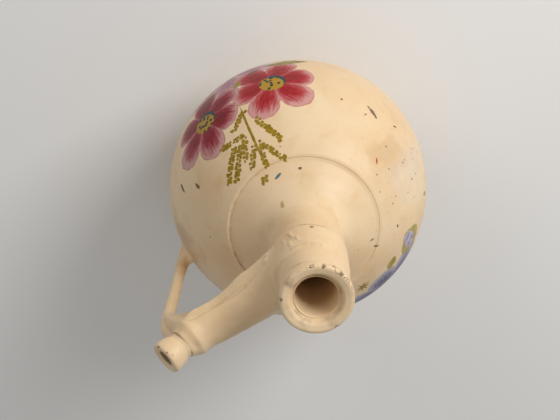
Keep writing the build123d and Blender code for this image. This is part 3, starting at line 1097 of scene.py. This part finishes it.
flowers = (((-88, -12), 40, 0.2, lilac, 5.0, 8.0), ((-105.5, 17.9), 34, 0.35, crimson, 1.0, 10.0),
           ((-70.3, 18.6), 34, 0.15, mauve, 2.0, 10.0), ((107, 25), 38, 0.22, violet, 3.0, 9.0))
for at, reach, start, ramp, seed, eye in flowers:
    paint = flower(paint, place, at, reach, start, ramp, seed, eye, ragged)
print("flowers:", len(flowers))

# %% Leaves
green = (0.12, 0.13, 0.035)
moss = (0.23, 0.195, 0.02)
olive = (0.34, 0.265, 0.006)

leaves = (((-113, -3), 5, 36, 14, moss), ((-90, 8), 60, 11, 7, olive), ((-98, 1), 20, 12, 6, green),
          ((-76, 3), 40, 18, 5, green), ((-62, -8), -30, 34, 11, green), ((155, 19), 80, 10, 4, olive),
          ((123, 42), 20, 14, 10, olive), ((136, 33.5), 62, 31, 25, olive), ((88, 6), -20, 30, 11, green),
          ((131, 4), 30, 32, 11, green))
for at, heading, length, width, colour in leaves:
    paint = leaf(paint, place, at, heading, length, width, colour, ragged)
print("leaves:", len(leaves))

# %% Bud and sprays
bud_dark = (0.27, 0.235, 0.36)
bud_pale = (0.56, 0.47, 0.53)
gold_dark = (0.25, 0.150, 0.001)
gold_pale = (0.36, 0.220, 0.002)

bud = place.noise(5.0, 3.0).step(0.38, 0.62).mix(bud_dark, bud_pale)
paint = paint.over(bud, dab(place, (136.5, 34.5), 62, 24, 13, 0.5 * ragged))
spray = dab(place, (-88.5, 42), 90, 62, 2.2, 0.6 * ragged)
for heading in (10, 55, 100, 145):
    spray = spray | dab(place, (102.3, 48.3), heading, 13, 1.8, 0.5 * ragged)
twigs = (((-94, 37), 116, 24), ((-91, 48), 121, 21), ((-89, 30), 45, 16), ((-84, 41), -4, 20),
         ((-76, 43.5), 44, 26), ((-80.5, 44.5), 50, 24), ((-84, 43), 66, 17), ((-87, 48), 58, 17),
         ((-91, 49.5), 80, 15), ((-82.5, 61.5), 56, 3))
for number, (at, heading, length) in enumerate(twigs):
    spray = spray | twig(place, at, heading, length, 100.0 * number, ragged)
gold = place.noise(3.0).step(0.35, 0.65).mix(gold_dark, gold_pale)
paint = paint.over(gold, spray)
print("twigs:", len(twigs))

# %% Stray dabs
teal = (0.02, 0.13, 0.16)
red = (0.40, 0.02, 0.02)

red_dabs = (((-166.7, 47.3), 5.0, 1.6), ((-137, 28), 2.0, 1.8), ((169, 33), 2.0, 1.6))
paint = paint.over(teal, dab(place, (-93.3, 63.5), 205, 6, 1.8, ragged) * 0.9)
for at, length, width in red_dabs:
    paint = paint.over(red, dab(place, at, -50, length, width, 0.6 * ragged) * 0.9)
print("stray dabs: 1 teal and", len(red_dabs), "red")

# %% Knocks
rust = (0.17, 0.065, 0.03)
rubbed_clay = (0.36, 0.20, 0.11)

nibbled = 1.6 * (place.noise(1.5, 2.0) - 0.5)
knocks = (((-153.4, 26.7), -35, 11, 3.6), ((-150, 30.5), 0, 2.4, 1.6),
          ((-167, 23.4), 40, 3.4, 1.8), ((148.6, 47.9), 30, 2.8, 2.2), ((-45.8, 37.4), 80, 6.0, 2.8),
          ((-39.2, 26.6), 70, 10.0, 2.6), ((-113.4, 62.7), 0, 2.6, 2.0), ((141.6, 61), 120, 4.0, 1.3),
          ((136, 58.5), 110, 5.0, 1.4))
chips = dab(place, *knocks[0], nibbled)
for knock in knocks[1:]:
    chips = chips | dab(place, *knock, nibbled)
peppered = dab(place, (178, 36), 60, 86, 56, 2.4 * cloudy, 0.5)
specks = (place.cells(6.5) + 0.08 * ragged).step(0.14, 0.10) * peppered
paint = paint.over(rust, specks * 0.8)
worn = (place.parts()[2] + 5.0 * cloudy).step(2.6, 1.2)
paint = paint.over(rubbed_clay, worn * 0.8)
paint = paint.over(bare_clay, chips * 0.85)
finish_paint(shader, place, paint, spoilt | chips | worn)
print("painted globe:", len(painted.node_tree.nodes), "nodes")

# %% Coats on the pieces
with_flowers = ("globe", "shoulder_cone")
for name, piece in pieces.items():
    piece.data.materials.append(painted if name in with_flowers else plain_coat)
print("flowers on", *with_flowers)

# %% [markdown]
# ## Floor, light and camera
#
# The jug stands on a plain pale floor. A large soft light comes from the side away from the spout, and two
# weaker ones from the front and from above fill the shade. A panorama could light the jug as well, but three
# lamps need no picture and are easy to move. The camera looks down into the mouth with a long lens, and is
# rolled so that the spout points to the lower left. A target to track would aim it too, but here the way
# that the pot's own axes lie in the picture is given, and the camera's place follows from it.

# %% Floor
floor_half = 3.0
floor_height = -0.0003
floor_pale = (0.86, 0.845, 0.82)
floor_grey = (0.83, 0.815, 0.79)

floor_mesh = bpy.data.meshes.new("floor")
sides = ((-1, -1), (1, -1), (1, 1), (-1, 1))
corners = [(floor_half * x, floor_half * y, floor_height) for x, y in sides]
floor_mesh.from_pydata(corners, [], [(0, 1, 2, 3)])
floor = bpy.data.objects.new("floor", floor_mesh)
bpy.context.scene.collection.objects.link(floor)
floor_coat, shader, place = start_material("pale_floor")
shade = place.noise(300.0).mix(floor_pale, floor_grey)
floor_coat.node_tree.links.new(shade.socket, shader.inputs["Base Color"])
shader.inputs["Roughness"].default_value = 0.8
floor.data.materials.append(floor_coat)
print("floor:", 2 * floor_half, "m wide")


# %% Light
def pose(columns, spot):
    """A matrix from three axis columns and a place."""
    rows = [(*row, where) for row, where in zip(np.stack(columns, axis=1).tolist(), spot)]
    return Matrix(rows + [(0, 0, 0, 1)])


def soft_light(name, direction, distance, size, power):
    """A square area light that looks at the jug from a direction."""
    light = bpy.data.lights.new(name, "AREA")
    light.size = size
    light.energy = power
    lamp = bpy.data.objects.new(name, light)
    back = unit(np.array(direction))
    side = unit(np.cross((0, 0, 1), back))
    lamp.matrix_world = pose([side, np.cross(back, side), back], jug_middle + back * distance)
    bpy.context.scene.collection.objects.link(lamp)
    print(f"{name} light: {power} W from {distance} m")


jug_middle = np.array([0, 0, 0.14])
soft_light("key", (-0.84, -0.25, 0.50), 1.6, 0.8, 18)
soft_light("fill", (0.20, -0.85, 0.45), 2.0, 0.9, 5)
soft_light("top", (-0.1, 0.2, 1.0), 2.0, 1.6, 4)
world = bpy.data.worlds.new("studio")
world.use_nodes = True
background = world.node_tree.nodes["Background"]
background.inputs["Color"].default_value = (1.0, 1.0, 1.0, 1)
background.inputs["Strength"].default_value = 0.26
bpy.context.scene.world = world
bpy.context.scene.view_settings.view_transform = "Standard"

# %% Camera
frame_width = 560
focal_pixels = 1200.0
camera_data = bpy.data.cameras.new("camera")
camera_data.sensor_width = 36.0
camera_data.lens = camera_data.sensor_width * focal_pixels / frame_width
camera = bpy.data.objects.new("camera", camera_data)
bpy.context.scene.collection.objects.link(camera)
pot_up = unit(np.array([0.043, 0.352, -0.935]))
pot_spout = np.array([-0.880, 0.457, 0.132])
pot_spout = unit(pot_spout - pot_up * (pot_spout @ pot_up))
axes = np.stack([pot_spout, np.cross(pot_up, pot_spout), pot_up])
belly_in_camera = np.array([14.0, -17.5, 938.9])
eye = (np.array([0, 0, belly_height]) - axes @ belly_in_camera) * millimetre
camera.matrix_world = pose(list((axes * np.array([1, -1, -1])).T), eye)
bpy.context.scene.camera = camera
print("camera at", np.round(eye, 3), "lens", round(camera_data.lens, 2))
